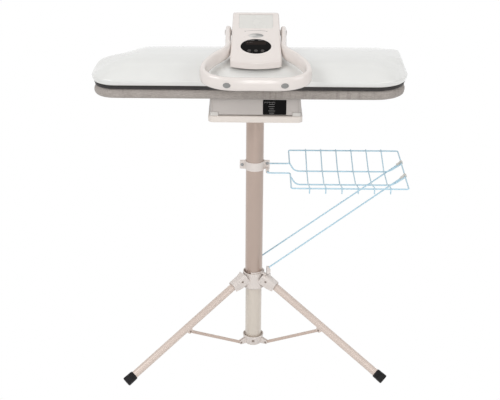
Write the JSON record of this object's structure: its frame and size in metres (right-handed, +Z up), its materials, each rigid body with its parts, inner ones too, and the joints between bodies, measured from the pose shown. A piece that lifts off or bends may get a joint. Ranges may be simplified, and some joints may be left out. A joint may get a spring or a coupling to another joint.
{
  "type": "steam ironing press",
  "caption": "Steam ironing press with a padded board, a lift-up pressing head and a loop handle, on a folding tripod stand with a wire rack.",
  "frame": {"origin": "centre of the bounding box on the floor, under the foot caps", "axes": "+Z up, +X towards the wire rack, +Y towards the hinge at the back, so the handle faces -Y"},
  "size_m": [0.9972, 0.7638, 1.1573],
  "materials": {
    "pole_paint": "satin pearl paint",
    "post_paint": "satin pearl paint",
    "leg_paint": "satin pearl paint",
    "casting": "satin",
    "platform_paint": "satin",
    "cap_rubber": "matt",
    "grey_rubber": "matt",
    "wire_coat": "smooth pale blue coat",
    "clip_plastic": "matt",
    "steel": "plain",
    "housing_plastic": "matt cream",
    "window_plastic": "black gloss",
    "black_plastic": "matt",
    "pad_cloth": "woven grey-taupe",
    "plate_metal": "dark non-stick coat",
    "insulation": "felted board",
    "shell_plastic": "cool white gloss",
    "head_plastic": "warm cream gloss",
    "arm_casting": "cast",
    "grey_plastic": "satin",
    "circuit_laminate": "laminate",
    "tank_plastic": "clear to milky"
  },
  "bodies": {
    "stand": {"pole": "pole_paint", "pole_flange": "platform_paint", "platform": "platform_paint", "hub": "casting", "clamp_front": "casting", "clamp_rear": "casting", "clamp_bolt_left": "steel", "clamp_bolt_right": "steel", "clamp_lower": "casting", "base_housing": "housing_plastic", "base_foot_front_left": "grey_rubber", "base_foot_front_right": "grey_rubber", "base_foot_rear_left": "grey_rubber", "base_foot_rear_right": "grey_rubber", "gauge_window": "window_plastic", "power_inlet": "black_plastic", "board_tray": "steel", "ironing_pad": "pad_cloth", "hinge_column": "casting", "hinge_pin": "steel", "lift_spring": "steel"},
    "press_head": {"press_arm": "arm_casting", "plate_shell": "shell_plastic", "insulator": "insulation", "heating_plate": "plate_metal", "head_cover": "head_plastic", "display_lens": "window_plastic", "badge_plate": "steel", "control_board": "circuit_laminate", "water_tank": "tank_plastic", "pump": "black_plastic", "handle_bolt_left": "head_plastic", "handle_bolt_right": "head_plastic"},
    "handle_loop": {"handle": "head_plastic"},
    "steam_key_left": {"steam_button_left": "grey_plastic"},
    "steam_key_right": {"steam_button_right": "grey_plastic"},
    "control_key_left": {"control_button_left": "grey_plastic"},
    "control_key_middle": {"control_button_middle": "grey_plastic"},
    "control_key_right": {"control_button_right": "grey_plastic"},
    "tank_lid": {"filler_lid": "head_plastic"},
    "rack": {"rack_tray": "wire_coat", "rack_strut_front": "wire_coat", "rack_strut_rear": "wire_coat", "rack_clip_front": "clip_plastic", "rack_clip_rear": "clip_plastic"},
    "post": {"lower_post": "post_paint", "collar": "casting", "collar_screw": "steel"},
    "right_leg": {"leg_right": "leg_paint", "foot_cap_right": "cap_rubber"},
    "rear_leg": {"leg_rear": "leg_paint", "foot_cap_rear": "cap_rubber"},
    "left_leg": {"leg_left": "leg_paint", "foot_cap_left": "cap_rubber"},
    "right_stretcher": {"stretcher_right": "leg_paint"},
    "rear_stretcher": {"stretcher_rear": "leg_paint"},
    "left_stretcher": {"stretcher_left": "leg_paint"}
  },
  "joints": [
    {"name": "head_hinge", "type": "hinge", "parent": "stand", "child": "press_head", "pos_m": [0.01242, 0.09463, 1.00388], "axis": [-1, 0, 0], "range_deg": [0, 45]},
    {"name": "handle_hinge", "type": "hinge", "parent": "press_head", "child": "handle_loop", "pos_m": [0.01242, -0.06737, 1.10388], "axis": [-1, 0, 0], "range_deg": [0, 35]},
    {"name": "steam_press_left", "type": "slide", "parent": "handle_loop", "child": "steam_key_left", "axis": [0.0964, 0.9953, 0], "range_m": [0, 0.002], "stiffness_N_per_m": 300, "springref_m": -0.001},
    {"name": "steam_press_right", "type": "slide", "parent": "handle_loop", "child": "steam_key_right", "axis": [-0.0964, 0.9953, 0], "range_m": [0, 0.002], "stiffness_N_per_m": 300, "springref_m": -0.001},
    {"name": "control_press_left", "type": "slide", "parent": "press_head", "child": "control_key_left", "axis": [0, 0.4454, -0.8953], "range_m": [0, 0.001], "stiffness_N_per_m": 300, "springref_m": -0.001},
    {"name": "control_press_middle", "type": "slide", "parent": "press_head", "child": "control_key_middle", "axis": [0, 0.4454, -0.8953], "range_m": [0, 0.001], "stiffness_N_per_m": 300, "springref_m": -0.001},
    {"name": "control_press_right", "type": "slide", "parent": "press_head", "child": "control_key_right", "axis": [0, 0.4454, -0.8953], "range_m": [0, 0.001], "stiffness_N_per_m": 300, "springref_m": -0.001},
    {"name": "lid_hinge", "type": "hinge", "parent": "press_head", "child": "tank_lid", "pos_m": [0.01242, -0.03939, 1.15005], "axis": [-1, 0, 0], "range_deg": [0, 75]},
    {"name": "rack_lift", "type": "hinge", "parent": "stand", "child": "rack", "pos_m": [0.05342, -0.11137, 0.66438], "axis": [0, -1, 0], "range_deg": [0, 35]},
    {"name": "post_slide", "type": "slide", "parent": "stand", "child": "post", "axis": [0, 0, -1], "range_m": [0, 0.2192]},
    {"name": "leg_fold_right", "type": "hinge", "parent": "stand", "child": "right_leg", "pos_m": [0.05917, -0.13633, 0.27108], "axis": [0.471, 0.8821, 0], "range_deg": [0, 50]},
    {"name": "leg_fold_rear", "type": "hinge", "parent": "stand", "child": "rear_leg", "pos_m": [0.01066, -0.0584, 0.27108], "axis": [-0.9995, -0.0332, 0], "range_deg": [0, 50]},
    {"name": "leg_fold_left", "type": "hinge", "parent": "stand", "child": "left_leg", "pos_m": [-0.03258, -0.13938, 0.27108], "axis": [0.5284, -0.849, 0], "range_deg": [0, 50]},
    {"name": "stretcher_fold_right", "type": "hinge", "parent": "right_leg", "child": "right_stretcher", "pos_m": [0.22983, -0.22746, 0.13322], "axis": [-0.471, -0.8821, 0], "range_deg": [0, 107.8]},
    {"name": "stretcher_fold_rear", "type": "hinge", "parent": "rear_leg", "child": "rear_stretcher", "pos_m": [0.00424, 0.13496, 0.13322], "axis": [0.9995, 0.0332, 0], "range_deg": [0, 107.8]},
    {"name": "stretcher_fold_left", "type": "hinge", "parent": "left_leg", "child": "left_stretcher", "pos_m": [-0.19683, -0.24161, 0.13322], "axis": [-0.5284, 0.849, 0], "range_deg": [0, 107.8]}
  ],
  "couplings": [
    {"joint": "leg_fold_right", "follows": "post_slide", "rad_per_m": 3.98},
    {"joint": "leg_fold_rear", "follows": "post_slide", "rad_per_m": 3.98},
    {"joint": "leg_fold_left", "follows": "post_slide", "rad_per_m": 3.98},
    {"joint": "stretcher_fold_right", "follows": "post_slide", "rad_per_m": 8.576},
    {"joint": "stretcher_fold_rear", "follows": "post_slide", "rad_per_m": 8.576},
    {"joint": "stretcher_fold_left", "follows": "post_slide", "rad_per_m": 8.576}
  ]
}
